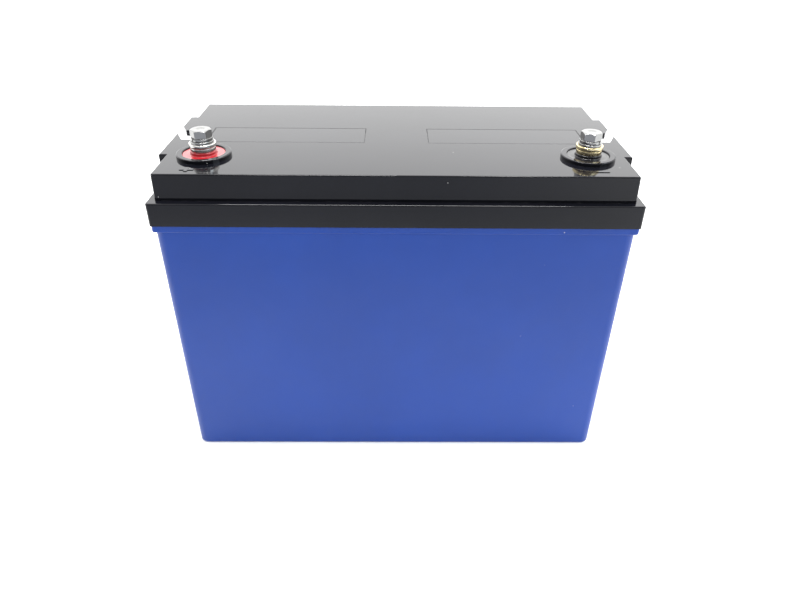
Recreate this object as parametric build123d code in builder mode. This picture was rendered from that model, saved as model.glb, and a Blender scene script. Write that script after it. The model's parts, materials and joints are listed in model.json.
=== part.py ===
from build123d import *

import math
import os

# A 12.8 V lithium iron phosphate battery pack in a moulded case. Millimetres, +Z up, front at -Y,
# origin at the centre of the underside. Eight prismatic cells, two in parallel and four in series,
# stand in a row along X under a stepped lid that carries two M8 bolt terminals.

# ---------------------------------------------------------------- driving dimensions
LENGTH = 330.0
DEPTH = 172.0
LID_TOP = 235.0

# Moulded case: tapered box, rim under the lid's flange, tongue inside the flange
CASE_FOOT = (324.5, 166.5)
CASE_TAPER = 2.2
CASE_WALL = 3.2
CASE_FLOOR = 3.5
CASE_CORNER = 7.0
CASE_FOOT_FILLET = 2.0
RIM_BOTTOM = 195.3
RIM_TOP = 200.3
RIM_INSET = 0.7
RIM_CORNER = 2.2
RIM_FILLET = 0.8
TONGUE_TOP = 211.1
TONGUE_GAP = 0.3
TONGUE_CORNER = 6.0

# Lid: flange below, raised plate above, handle ear at each end
FLANGE_TOP = 216.6
FLANGE_WALL = 2.5
FLANGE_ROOF = 213.1
FLANGE_CORNER = 2.0
FLANGE_FILLET = 1.0
STEP_INSET = (5.2, 5.4)
STEP_DRAFT = 0.3
STEP_CORNER = 1.2
LID_WALL = 3.2
LID_UNDERSIDE = 231.4
LID_FILLET = 0.9
HOLLOW_CORNER = 3.0
EAR_HALF_WIDTH = 43.4
EAR_WALL = 3.0
EAR_PLATE = 4.4
EAR_ROOT = 147.8

# Handle slot in the right ear: square-ended seat inwards, slanted mouth past the ear's end
SLOT_SEAT = (157.5, -11.8, 12.4)
SLOT_MOUTH = [(158.0, -11.8), (168.0, 10.0), (168.0, 26.1), (159.9, 9.2), (157.5, 9.2)]

# Flush cover strips in the lid
STRIP = (115.0, 32.3)
STRIP_X = 81.1
STRIP_THICKNESS = 1.7
STRIP_GAP = 0.35
STRIP_CORNER = 0.6
STRIP_FILLET = 0.3
PEG_RADIUS = 1.5
PEG_BOTTOM = 229.8
PEG_SPACING = (100.0, 22.0)
PEG_CLEARANCE = 0.05
SOCKET_RADIUS = 3.5
SOCKET_FLOOR = 1.0
SOCKET_DEPTH = 0.2

# Raised polarity marks: bar, height and places
MARK_BAR = (9.0, 2.2)
MARK_UPRIGHT = (2.2, 7.0)
MARK_HEIGHT = 0.4
PLUS_PLACE = (-138.1, -72.0)
MINUS_PLACE = (136.3, -71.6)

# Terminals, M8 with a 13 mm hexagon
TERMINAL = (132.9, -44.8)
RING_RADIUS = 18.7
RING_BORE = 14.6
RING_TOP = 237.7
RING_FILLET = 0.7
BOSS_RADIUS = 13.0
BOSS_BOTTOM = 229.4
SEAL_TOP = 236.9
SEAL_DISC = 14.5
SEAL_SLEEVE = 8.0
SEAL_COLLAR = 9.2
SEAL_BORE = 6.45
SEAL_FILLET = 0.6
SEAL_CLEARANCE = 0.05
POST_FOOT = 239.1
POST_TOP = 244.6
POST_BOTTOM = 221.2
POST_SHANK = 6.0
POST_BODY = 6.4
POST_HEAD = [(8.6, 239.1, 241.7), (8.1, 241.7, 242.1), (9.2, 242.1, 244.6)]
POST_BORE = 4.05
POST_BORE_FLOOR = 230.4
POST_CHAMFER = 0.3
LUG_THICKNESS = 2.0
LOCK_NUT_HEIGHT = 5.0
LOCK_NUT_CORNER = 10.4
THREAD_CLEARANCE = 0.02
BOLT_RADIUS = 4.0
BOLT_LENGTH = 16.0
BOLT_CHAMFER = 0.8
HEAD_ACROSS_CORNERS = 14.8
HEAD_HEIGHT = 5.3
HEAD_CROWN = (6.2, 1.05)
HEAD_DIMPLE = (2.9, 0.45)
HEAD_TURN = {"positive": 7.4, "negative": 36.0}
FLAT_WASHER = (8.0, 4.2, 1.6)
WASHER_CHAMFER = 0.25
SPRING_WASHER = (7.4, 4.2, 2.1)
SPLIT_WIDTH = 1.0
SPLIT_LEAN = 1.0

# Prismatic cells
CELL = (36.7, 130.3, 195.5)
CELL_GAP = 0.5
CELLS = 8
CELL_BOTTOM = 6.5
CELL_CORNER = 2.0
CELL_FILLET = 0.8
CAN_WALL = 0.8
CAP_THICKNESS = 1.5
WINDING = (33.9, 126.0)
WINDING_CORNER = 14.0
WINDING_HEADROOM = 4.0
VENT = (16.0, 8.0)
VENT_DEPTH = 0.9
VENT_THICKNESS = 0.5
POST_SPACING = 67.0
POST_RADIUS = 9.0
POST_HEIGHT = 4.4
POST_NECK = 4.5
POST_TAIL = 2.0
POST_GASKET = (5.5, 10.5, 0.8)
STUD_RADIUS = 3.0
STUD_HEIGHT = 8.4

# Stack hardware and foam
SPACER_WIDTH = 128.0
STACK_TOP = 200.0
END_PLATE = 3.0
END_PLATE_FILLET = 2.4
STRAP = (12.0, 0.6)
STRAP_HEIGHTS = (50.0, 145.0)
BASE_PAD = (300.0, 134.0)
BASE_PAD_CORNER = 4.0
FOAM_BOTTOM = 8.0
FOAM_TOP = 196.0
FOAM_CORNER = 1.0
LONG_FOAM = (296.0, 13.6)
LONG_FOAM_Y = 72.9
SHORT_FOAM = (6.4, 128.0)
SHORT_FOAM_X = 155.6

# Busbars: first cell, last cell and row of posts that each one joins
BUSBARS = {
    "busbar_positive_end": (0, 1, 1),
    "busbar_link_1": (0, 3, -1),
    "busbar_link_2": (2, 5, 1),
    "busbar_link_3": (4, 7, -1),
    "busbar_negative_end": (6, 7, 1),
}
BUSBAR = (20.0, 2.0)
BUSBAR_CORNER = 5.0
STUD_CLEARANCE = 0.2
TAB_REACH = 64.0
TAB_WIDTH = 16.0
NUT_FLANGE = (6.5, 1.2)
NUT_CORNER = 5.77
NUT_HEIGHT = 4.6

# Battery management board over the busbars
BMS_X = -25.0
BOARD = (144.0, 64.0, 1.6)
BOARD_CORNER = 2.0
TRAY = (150.0, 76.0, 2.0)
TRAY_CORNER = 3.0
TRAY_BOTTOM = 216.0
TRAY_LEG = 3.5
TRAY_LEG_Y = 16.0
STANDOFF = 3.0
STANDOFF_RADIUS = 3.0
SCREW_SPACING = (132.0, 54.0)
SCREW = (1.03, 2.6, 1.6)
SCREW_PILOT = 1.05
SCREW_HOLE = 1.6
SCREW_END = 0.5
MOSFET = (6.6, 9.6, 2.3)
MOSFETS = 10
MOSFET_PITCH = 9.4
MOSFET_ROW = 8.0
HEATSINK = (100.0, 34.0, 2.1)
HEATSINK_CORNER = 1.0
CONNECTOR = (6.0, 15.0, 5.6)
CONNECTOR_INSET = 5.0
CONNECTOR_CHAMFER = 0.5

# Cables, crimp lugs and sense wires
POWER_CABLE = 6.0
LUG_BARREL = (3.8, 16.0)
LUG_NECK = 1.0
LUG_PALM_TAIL = 8.0
BAR_PALM = 12.0
BAR_PALM_THICKNESS = 1.5
POST_PALM = 22.0
PALM_ROUNDING = 0.4
BAR_RUN = 15.0
POST_RUN = 15.5
PAD_INSET = 11.0
PAD_ROW = -20.0
PAD_RUN = 19.0
NEGATIVE_KNEE = 60.0
OUTPUT_KNEE = 84.0
# Share of a straight run that a bend may take at the cable's ends and between two bends
END_RUN_SHARE = 0.95
INNER_RUN_SHARE = 0.48
SENSE_WIRE = 1.4
SENSE_RADII = (5.0, 8.0, 6.0)
SENSE_LANDING_Y = 41.0
SENSE_LIFT = 0.05
SENSE_SOCKET = (3.0, 6.5, 9.0)
# One wire from the connector to each busbar: landing x, row, lane y
SENSE_WIRES = [
    (-86.0, 1, 54.0),
    (-60.0, 1, 56.5),
    (88.0, 1, 59.0),
    (-74.0, -1, 54.0),
    (14.0, -1, 56.5),
]

# ---------------------------------------------------------------- derived places
CAP_TOP = CELL_BOTTOM + CELL[2]
PITCH = CELL[0] + CELL_GAP
cell_places = [(index - (CELLS - 1) / 2) * PITCH for index in range(CELLS)]
post_row = POST_SPACING / 2
busbar_bottom = CAP_TOP + POST_HEIGHT
busbar_top = busbar_bottom + BUSBAR[1]
end_plate_inner = CELLS * PITCH / 2 - CELL_GAP / 2
board_bottom = TRAY_BOTTOM + TRAY[2] + STANDOFF
board_top = board_bottom + BOARD[2]

os.makedirs("parts", exist_ok=True)


def write(piece, name):
    """Label a finished sub-part and write it as its own STEP file."""
    piece.part.label = name
    export_step(piece.part, f"parts/{name}.step")


def slab(size, bottom, top, corner=0.0, centre=(0.0, 0.0), mode=Mode.ADD):
    """Extrude an upright block between two heights, with rounded vertical corners if asked."""
    with BuildSketch(Plane.XY.offset(bottom)) as outline:
        with Locations(centre):
            if corner:
                RectangleRounded(size[0], size[1], corner)
            else:
                Rectangle(size[0], size[1])
    extrude(outline.sketch, amount=top - bottom, mode=mode)


def steps(centre, layers, mode=Mode.ADD):
    """Extrude round steps about one upright axis, each given as (radius, bottom, top)."""
    for radius, bottom, top in layers:
        with BuildSketch(Plane.XY.offset(bottom)) as outline:
            with Locations(centre):
                Circle(radius)
        extrude(outline.sketch, amount=top - bottom, mode=mode)


def taper(size_low, low, size_high, high, corner, mode=Mode.ADD):
    """Loft a rounded rectangle between two heights."""
    with BuildSketch(Plane.XY.offset(low)) as foot:
        RectangleRounded(size_low[0], size_low[1], corner)
    with BuildSketch(Plane.XY.offset(high)) as head:
        RectangleRounded(size_high[0], size_high[1], corner)
    loft([foot.sketch.face(), head.sketch.face()], ruled=True, mode=mode)


def grown(size, amount):
    """A rectangle's size with the same amount added along both axes."""
    return (size[0] + amount, size[1] + amount)


def case_outline(height):
    """The outer size of the tapered case wall at a height."""
    return grown(CASE_FOOT, CASE_TAPER * height / RIM_BOTTOM)


# ---------------------------------------------------------------- case
rim_outline = (LENGTH - 2 * RIM_INSET, DEPTH - 2 * RIM_INSET)
flange_inner = (LENGTH - 2 * FLANGE_WALL, DEPTH - 2 * FLANGE_WALL)
tongue_outline = grown(flange_inner, -2 * TONGUE_GAP)
tongue_inner = grown(case_outline(TONGUE_TOP), -2 * CASE_WALL)
inner_corner = CASE_CORNER - CASE_WALL

with BuildPart() as case:
    taper(CASE_FOOT, 0, case_outline(RIM_BOTTOM), RIM_BOTTOM, CASE_CORNER)
    fillet(case.edges().group_by(Axis.Z)[0], CASE_FOOT_FILLET)
    slab(rim_outline, RIM_BOTTOM, RIM_TOP, corner=RIM_CORNER)
    rim_underside = case.faces().filter_by(Axis.Z).group_by(Axis.Z)[1].face()
    fillet(rim_underside.outer_wire().edges(), RIM_FILLET)
    slab(tongue_outline, RIM_TOP, TONGUE_TOP, corner=TONGUE_CORNER)
    taper(
        grown(case_outline(CASE_FLOOR), -2 * CASE_WALL),
        CASE_FLOOR,
        tongue_inner,
        TONGUE_TOP,
        inner_corner,
        mode=Mode.SUBTRACT,
    )
write(case, "case")

# ---------------------------------------------------------------- lid
step_outline = (LENGTH - 2 * STEP_INSET[0], DEPTH - 2 * STEP_INSET[1])
step_top = grown(step_outline, -2 * STEP_DRAFT)
strip_recess = grown(STRIP, 2 * STRIP_GAP)
strip_floor = LID_TOP - STRIP_THICKNESS
seat_x, seat_front, seat_back = SLOT_SEAT
slot_points = [
    (EAR_ROOT, seat_front),
    *SLOT_MOUTH,
    (seat_x, seat_back),
    (EAR_ROOT, seat_back),
]


def peg_places(side):
    """The four pegs that hold one cover strip."""
    across, along = PEG_SPACING[0] / 2, PEG_SPACING[1] / 2
    return [(side * STRIP_X + x, y) for x in (-across, across) for y in (-along, along)]


def polarity_mark(place, bars):
    """Raised bars of a polarity mark on the lid."""
    for bar in bars:
        slab(bar, LID_TOP, LID_TOP + MARK_HEIGHT, centre=place)


with BuildPart() as lid:
    slab((LENGTH, DEPTH), RIM_TOP, FLANGE_TOP, corner=FLANGE_CORNER)
    fillet(lid.faces().sort_by(Axis.Z)[-1].edges(), FLANGE_FILLET)
    taper(step_outline, FLANGE_TOP, step_top, LID_TOP, STEP_CORNER)
    slab((LENGTH, 2 * EAR_HALF_WIDTH), FLANGE_TOP, LID_TOP)
    fillet(lid.faces().sort_by(Axis.Z)[-1].edges(), LID_FILLET)
    # Hollow of the flange, then of the raised plate, which stays clear of the handle pockets
    slab(
        flange_inner,
        RIM_TOP,
        FLANGE_ROOF,
        corner=TONGUE_CORNER + TONGUE_GAP,
        mode=Mode.SUBTRACT,
    )
    with BuildSketch(Plane.XY.offset(FLANGE_ROOF)):
        RectangleRounded(*grown(step_outline, -2 * LID_WALL), HOLLOW_CORNER)
        with Locations((LENGTH / 2, 0), (-LENGTH / 2, 0)):
            Rectangle(
                LENGTH - 2 * (EAR_ROOT - EAR_WALL),
                2 * (EAR_HALF_WIDTH + EAR_WALL),
                mode=Mode.SUBTRACT,
            )
    extrude(amount=LID_UNDERSIDE - FLANGE_ROOF, mode=Mode.SUBTRACT)
    # Pocket behind each handle ear, open outwards
    pocket_size = (2 * (LENGTH / 2 - EAR_ROOT), 2 * (EAR_HALF_WIDTH - EAR_WALL))
    for side in (-1, 1):
        pocket_centre = (side * LENGTH / 2, 0)
        slab(
            pocket_size,
            FLANGE_TOP,
            LID_TOP - EAR_PLATE,
            centre=pocket_centre,
            mode=Mode.SUBTRACT,
        )
    # Handle slot through each ear: a slanted mouth that opens into a square-ended seat
    with BuildSketch(Plane.XY.offset(LID_TOP - EAR_PLATE)):
        with BuildLine():
            Polyline(*slot_points, close=True)
        make_face()
        mirror(about=Plane.YZ)
    extrude(amount=EAR_PLATE, mode=Mode.SUBTRACT)
    # Recesses and peg sockets for the cover strips
    for side in (-1, 1):
        slab(
            strip_recess,
            strip_floor,
            LID_TOP,
            STRIP_CORNER + STRIP_GAP,
            (side * STRIP_X, 0),
            Mode.SUBTRACT,
        )
        socket_bottom = PEG_BOTTOM - SOCKET_DEPTH
        for peg in peg_places(side):
            steps(peg, [(SOCKET_RADIUS, socket_bottom - SOCKET_FLOOR, LID_UNDERSIDE)])
            steps(peg, [(PEG_RADIUS + PEG_CLEARANCE, socket_bottom, strip_floor)], Mode.SUBTRACT)
    # Terminal rings, bosses and holes
    for side in (-1, 1):
        seat = (side * TERMINAL[0], TERMINAL[1])
        steps(seat, [(RING_RADIUS, LID_TOP, RING_TOP)])
        steps(seat, [(RING_BORE, LID_TOP, RING_TOP)], Mode.SUBTRACT)
        steps(seat, [(BOSS_RADIUS, BOSS_BOTTOM, LID_UNDERSIDE)])
        steps(seat, [(SEAL_SLEEVE + SEAL_CLEARANCE, BOSS_BOTTOM, LID_TOP)], Mode.SUBTRACT)
    ring_edges = lid.edges().filter_by(GeomType.CIRCLE).group_by(Axis.Z)[-1]
    fillet(ring_edges, RING_FILLET)
    polarity_mark(PLUS_PLACE, (MARK_BAR, MARK_UPRIGHT))
    polarity_mark(MINUS_PLACE, (MARK_BAR,))
write(lid, "lid")

with BuildPart() as lid_gasket:
    slab(tongue_outline, TONGUE_TOP, FLANGE_ROOF, corner=TONGUE_CORNER)
    slab(tongue_inner, TONGUE_TOP, FLANGE_ROOF, corner=inner_corner, mode=Mode.SUBTRACT)
write(lid_gasket, "lid_gasket")

# ---------------------------------------------------------------- cover strips
for side, name in ((-1, "cover_strip_left"), (1, "cover_strip_right")):
    with BuildPart() as strip:
        slab(STRIP, strip_floor, LID_TOP, STRIP_CORNER, (side * STRIP_X, 0))
        fillet(strip.faces().sort_by(Axis.Z)[-1].edges(), STRIP_FILLET)
        for peg in peg_places(side):
            steps(peg, [(PEG_RADIUS, PEG_BOTTOM, strip_floor)])
    write(strip, name)

# ---------------------------------------------------------------- terminals
lug_bottom = BOSS_BOTTOM - LUG_THICKNESS
nut_bottom = lug_bottom - LOCK_NUT_HEIGHT
flat_top = POST_TOP + FLAT_WASHER[2]
head_bottom = flat_top + SPRING_WASHER[2]
head_top = head_bottom + HEAD_HEIGHT
crown_reach = HEAD_CROWN[0] + HEAD_CROWN[1] * math.sqrt(3)

for side, polarity in ((-1, "positive"), (1, "negative")):
    seat = (side * TERMINAL[0], TERMINAL[1])

    with BuildPart() as seal:
        steps(seat, [(SEAL_SLEEVE, BOSS_BOTTOM, LID_TOP), (SEAL_DISC, LID_TOP, SEAL_TOP)])
        steps(seat, [(SEAL_COLLAR, SEAL_TOP, POST_FOOT)])
        fillet(seal.faces().sort_by(Axis.Z)[-1].edges(), SEAL_FILLET)
        steps(seat, [(SEAL_BORE, BOSS_BOTTOM, POST_FOOT)], Mode.SUBTRACT)
    write(seal, f"{polarity}_seal")

    with BuildPart() as terminal:
        steps(seat, [(POST_SHANK, POST_BOTTOM, BOSS_BOTTOM), (POST_BODY, BOSS_BOTTOM, POST_FOOT)])
        steps(seat, POST_HEAD)
        chamfer(terminal.faces().sort_by(Axis.Z)[-1].edges(), POST_CHAMFER)
        steps(seat, [(POST_BORE, POST_BORE_FLOOR, POST_TOP)], Mode.SUBTRACT)
    write(terminal, f"{polarity}_terminal")

    with BuildPart() as lock_nut:
        with BuildSketch(Plane.XY.offset(nut_bottom)):
            with Locations(seat):
                RegularPolygon(radius=LOCK_NUT_CORNER, side_count=6)
                Circle(POST_SHANK + THREAD_CLEARANCE, mode=Mode.SUBTRACT)
        extrude(amount=LOCK_NUT_HEIGHT)
    write(lock_nut, f"{polarity}_lock_nut")

    with BuildPart() as flat_washer:
        steps(seat, [(FLAT_WASHER[0], POST_TOP, flat_top)])
        chamfer(flat_washer.faces().sort_by(Axis.Z)[-1].edges(), WASHER_CHAMFER)
        steps(seat, [(FLAT_WASHER[1], POST_TOP, flat_top)], Mode.SUBTRACT)
    write(flat_washer, f"{polarity}_flat_washer")

    with BuildPart() as spring_washer:
        steps(seat, [(SPRING_WASHER[0], flat_top, head_bottom)])
        steps(seat, [(SPRING_WASHER[1], flat_top, head_bottom)], Mode.SUBTRACT)
        # The slanted cut of the split, towards the outer front corner
        with BuildSketch(Plane(origin=(*seat, flat_top), x_dir=(0, -1, 0), z_dir=(side, 0, 0))):
            with BuildLine():
                Polyline(
                    (-SPLIT_LEAN, -SPLIT_WIDTH),
                    (SPLIT_WIDTH - SPLIT_LEAN, -SPLIT_WIDTH),
                    (SPLIT_WIDTH + SPLIT_LEAN / 2, SPRING_WASHER[2] + SPLIT_WIDTH),
                    (SPLIT_LEAN / 2, SPRING_WASHER[2] + SPLIT_WIDTH),
                    close=True,
                )
            make_face()
        extrude(amount=SPRING_WASHER[0] + SPLIT_WIDTH, mode=Mode.SUBTRACT)
    write(spring_washer, f"{polarity}_spring_washer")

    with BuildPart() as bolt:
        with BuildSketch(Plane.XY.offset(head_bottom)):
            with Locations(seat):
                RegularPolygon(
                    radius=HEAD_ACROSS_CORNERS / 2,
                    side_count=6,
                    rotation=HEAD_TURN[polarity],
                )
        extrude(amount=HEAD_HEIGHT)
        # Thirty-degree crown that rounds off the hexagon's corners
        with BuildSketch(Plane.XZ.offset(-seat[1])):
            with BuildLine():
                Polyline(
                    (seat[0], head_bottom),
                    (seat[0] + crown_reach, head_bottom),
                    (seat[0] + crown_reach, head_top - HEAD_CROWN[1]),
                    (seat[0] + HEAD_CROWN[0], head_top),
                    (seat[0], head_top),
                    close=True,
                )
            make_face()
        revolve(axis=Axis((*seat, 0), (0, 0, 1)), mode=Mode.INTERSECT)
        steps(seat, [(HEAD_DIMPLE[0], head_top - HEAD_DIMPLE[1], head_top)], Mode.SUBTRACT)
        steps(seat, [(BOLT_RADIUS, head_bottom - BOLT_LENGTH, head_bottom)])
        chamfer(bolt.faces().sort_by(Axis.Z)[0].edges(), BOLT_CHAMFER)
    write(bolt, f"{polarity}_bolt")

# ---------------------------------------------------------------- cells
inner_can = grown(CELL[:2], -2 * CAN_WALL)
can_floor = CELL_BOTTOM + CAN_WALL
can_corner = CELL_CORNER - CAN_WALL
cap_bottom = CAP_TOP - CAP_THICKNESS
gasket_top = CAP_TOP + POST_GASKET[2]
post_places = [(x, y) for x in cell_places for y in (-post_row, post_row)]

for index, x in enumerate(cell_places, start=1):
    with BuildPart() as can:
        slab(CELL[:2], CELL_BOTTOM, CAP_TOP, CELL_CORNER, (x, 0))
        fillet(can.faces().sort_by(Axis.Z)[0].edges(), CELL_FILLET)
        slab(inner_can, can_floor, CAP_TOP, can_corner, (x, 0), Mode.SUBTRACT)
    write(can, f"cell_{index}")

with BuildPart() as cell_windings:
    for x in cell_places:
        slab(WINDING, can_floor, cap_bottom - WINDING_HEADROOM, WINDING_CORNER, (x, 0))
write(cell_windings, "cell_windings")

with BuildPart() as cell_cap_plates:
    for x in cell_places:
        slab(inner_can, cap_bottom, CAP_TOP, can_corner, (x, 0))
    for place in post_places:
        steps(place, [(POST_GASKET[0], cap_bottom, CAP_TOP)], Mode.SUBTRACT)
    with BuildSketch(Plane.XY.offset(cap_bottom)):
        with Locations(*[(x, 0) for x in cell_places]):
            SlotOverall(*VENT)
    extrude(amount=CAP_THICKNESS, mode=Mode.SUBTRACT)
write(cell_cap_plates, "cell_cap_plates")

with BuildPart() as cell_safety_vents:
    with BuildSketch(Plane.XY.offset(CAP_TOP - VENT_DEPTH)):
        with Locations(*[(x, 0) for x in cell_places]):
            SlotOverall(*VENT)
    extrude(amount=VENT_THICKNESS)
write(cell_safety_vents, "cell_safety_vents")

with BuildPart() as cell_post_gaskets:
    for place in post_places:
        steps(place, [(POST_GASKET[0], cap_bottom, CAP_TOP), (POST_GASKET[1], CAP_TOP, gasket_top)])
        steps(place, [(POST_NECK, cap_bottom, gasket_top)], Mode.SUBTRACT)
write(cell_post_gaskets, "cell_post_gaskets")

# Each pair of cells faces the other way from its neighbour, so the positive posts alternate
positive_posts = []
negative_posts = []
for index, x in enumerate(cell_places):
    rear_positive = (index // 2) % 2 == 0
    positive_posts.append((x, post_row if rear_positive else -post_row))
    negative_posts.append((x, -post_row if rear_positive else post_row))

for polarity, places in (("positive", positive_posts), ("negative", negative_posts)):
    with BuildPart() as posts:
        for place in places:
            steps(place, [(POST_NECK, cap_bottom - POST_TAIL, gasket_top)])
            steps(place, [(POST_RADIUS, gasket_top, busbar_bottom)])
            steps(place, [(STUD_RADIUS, busbar_bottom, busbar_bottom + STUD_HEIGHT)])
    write(posts, f"cell_{polarity}_posts")

with BuildPart() as cell_spacers:
    for left, right in zip(cell_places, cell_places[1:]):
        middle = ((left + right) / 2, 0)
        slab((CELL_GAP, SPACER_WIDTH), CELL_BOTTOM, STACK_TOP, centre=middle)
write(cell_spacers, "cell_spacers")

# ---------------------------------------------------------------- stack hardware
stack_outline = (2 * (end_plate_inner + END_PLATE), CELL[1])

for side, name in ((-1, "end_plate_left"), (1, "end_plate_right")):
    with BuildPart() as end_plate:
        slab(
            (END_PLATE, CELL[1]),
            CELL_BOTTOM,
            STACK_TOP,
            centre=(side * (end_plate_inner + END_PLATE / 2), 0),
        )
        outer_face = end_plate.faces().sort_by(Axis.X)[-1 if side > 0 else 0]
        fillet(outer_face.edges().filter_by(Axis.Z), END_PLATE_FILLET)
    write(end_plate, name)

with BuildPart() as compression_straps:
    for height in STRAP_HEIGHTS:
        strap_top = height + STRAP[0]
        strap_outline = grown(stack_outline, 2 * STRAP[1])
        slab(strap_outline, height, strap_top, END_PLATE_FILLET + STRAP[1])
        slab(stack_outline, height, strap_top, END_PLATE_FILLET, mode=Mode.SUBTRACT)
write(compression_straps, "compression_straps")

with BuildPart() as base_pad:
    slab(BASE_PAD, CASE_FLOOR, CELL_BOTTOM, BASE_PAD_CORNER)
write(base_pad, "base_pad")

for side, name in ((-1, "foam_front"), (1, "foam_rear")):
    with BuildPart() as foam:
        slab(LONG_FOAM, FOAM_BOTTOM, FOAM_TOP, FOAM_CORNER, (0, side * LONG_FOAM_Y))
    write(foam, name)

for side, name in ((-1, "foam_left"), (1, "foam_right")):
    with BuildPart() as foam:
        slab(SHORT_FOAM, FOAM_BOTTOM, FOAM_TOP, FOAM_CORNER, (side * SHORT_FOAM_X, 0))
    write(foam, name)

# ---------------------------------------------------------------- busbars
for name, (first, last, side) in BUSBARS.items():
    middle = (cell_places[first] + cell_places[last]) / 2
    length = cell_places[last] - cell_places[first] + BUSBAR[0]
    studs = [(x, side * post_row) for x in cell_places[first : last + 1]]
    with BuildPart() as busbar:
        with BuildSketch(Plane.XY.offset(busbar_bottom)):
            with Locations((middle, side * post_row)):
                RectangleRounded(length, BUSBAR[0], BUSBAR_CORNER)
            if name == "busbar_positive_end":
                with Locations((middle, (post_row + TAB_REACH) / 2)):
                    Rectangle(TAB_WIDTH, TAB_REACH - post_row)
            with Locations(*studs):
                Circle(STUD_RADIUS + STUD_CLEARANCE, mode=Mode.SUBTRACT)
        extrude(amount=BUSBAR[1])
    write(busbar, name)

nut_hexagon_bottom = busbar_top + NUT_FLANGE[1]
nut_top = nut_hexagon_bottom + NUT_HEIGHT

with BuildPart() as busbar_nuts:
    for place in post_places:
        steps(place, [(NUT_FLANGE[0], busbar_top, nut_hexagon_bottom)])
    with BuildSketch(Plane.XY.offset(nut_hexagon_bottom)):
        with Locations(*post_places):
            RegularPolygon(radius=NUT_CORNER, side_count=6)
    extrude(amount=NUT_HEIGHT)
    for place in post_places:
        steps(place, [(STUD_RADIUS + THREAD_CLEARANCE, busbar_top, nut_top)], Mode.SUBTRACT)
write(busbar_nuts, "busbar_nuts")

# ---------------------------------------------------------------- battery management board
tray_top = TRAY_BOTTOM + TRAY[2]
mosfet_top = board_top + MOSFET[2]
screw_x, screw_y = SCREW_SPACING[0] / 2, SCREW_SPACING[1] / 2
board_screws = [(BMS_X + x, y) for x in (-screw_x, screw_x) for y in (-screw_y, screw_y)]
tray_legs = [(x, y) for x in cell_places[1:5] for y in (-TRAY_LEG_Y, TRAY_LEG_Y)]

with BuildPart() as bms_tray:
    slab(TRAY[:2], TRAY_BOTTOM, tray_top, TRAY_CORNER, (BMS_X, 0))
    for place in tray_legs:
        steps(place, [(TRAY_LEG, CAP_TOP, TRAY_BOTTOM)])
    for place in board_screws:
        steps(place, [(STANDOFF_RADIUS, tray_top, board_bottom)])
        steps(place, [(SCREW_PILOT, TRAY_BOTTOM, board_bottom)], Mode.SUBTRACT)
write(bms_tray, "bms_tray")

with BuildPart() as bms_board:
    slab(BOARD[:2], board_bottom, board_top, BOARD_CORNER, (BMS_X, 0))
    for place in board_screws:
        steps(place, [(SCREW_HOLE, board_bottom, board_top)], Mode.SUBTRACT)
write(bms_board, "bms_board")

with BuildPart() as bms_screws:
    for place in board_screws:
        steps(place, [(SCREW[0], TRAY_BOTTOM + SCREW_END, board_top)])
        steps(place, [(SCREW[1], board_top, board_top + SCREW[2])])
write(bms_screws, "bms_screws")

with BuildPart() as bms_mosfets:
    for column in range(MOSFETS):
        for y in (-MOSFET_ROW, MOSFET_ROW):
            place = (BMS_X + (column - (MOSFETS - 1) / 2) * MOSFET_PITCH, y)
            slab(MOSFET[:2], board_top, mosfet_top, centre=place)
write(bms_mosfets, "bms_mosfets")

with BuildPart() as bms_heatsink:
    slab(HEATSINK[:2], mosfet_top, mosfet_top + HEATSINK[2], HEATSINK_CORNER, (BMS_X, 0))
write(bms_heatsink, "bms_heatsink")

connector_x = BMS_X - BOARD[0] / 2 + CONNECTOR_INSET
with BuildPart() as balance_connector:
    slab(CONNECTOR[:2], board_top, board_top + CONNECTOR[2], centre=(connector_x, 0))
    chamfer(balance_connector.faces().sort_by(Axis.Z)[-1].edges(), CONNECTOR_CHAMFER)
write(balance_connector, "balance_connector")

# ---------------------------------------------------------------- cables
cable_on_bar = busbar_top + LUG_BARREL[0]
cable_on_board = board_top + POWER_CABLE / 2
cable_under_lid = BOSS_BOTTOM - LUG_BARREL[0]
pad_x = BMS_X + BOARD[0] / 2 - PAD_INSET


def corner_radii(points):
    """The largest arcs the runs of a route leave room for."""
    radii = []
    last = len(points) - 2
    for index in range(1, len(points) - 1):
        into = Vector(*points[index]) - Vector(*points[index - 1])
        out = Vector(*points[index + 1]) - Vector(*points[index])
        half_turn = math.radians(into.get_angle(out)) / 2
        share_in = END_RUN_SHARE if index == 1 else INNER_RUN_SHARE
        share_out = END_RUN_SHARE if index == last else INNER_RUN_SHARE
        reach = min(share_in * into.length, share_out * out.length)
        radii.append(reach / math.tan(half_turn))
    return radii


def cable(points, radii, diameter):
    """Sweep a round cable along straight runs joined by tangent arcs, and give its volume."""
    with BuildLine() as route:
        FilletPolyline(*points, radius=radii)
    with BuildSketch(Plane(origin=route.wire() @ 0, z_dir=route.wire() % 0)) as section:
        Circle(diameter / 2)
    sweep(section.sketch, path=route.wire())
    print("cable", round(route.wire().length, 1), "mm, radii", [round(r, 1) for r in radii])
    return math.pi * diameter**2 / 4 * route.wire().length


def lug_reach(palm_width):
    """How far a lug's barrel ends from the centre of its palm."""
    return palm_width / 2 + LUG_NECK + LUG_BARREL[1]


positive_tap = (-3 * PITCH, TAB_REACH - TAB_WIDTH / 2)
negative_tap = (3 * PITCH, post_row)
diagonal = math.sqrt(0.5)

bar_reach = lug_reach(BAR_PALM)
post_reach = lug_reach(POST_PALM)
bar_exit = diagonal * bar_reach
bar_bend = diagonal * (bar_reach + BAR_RUN)

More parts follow.
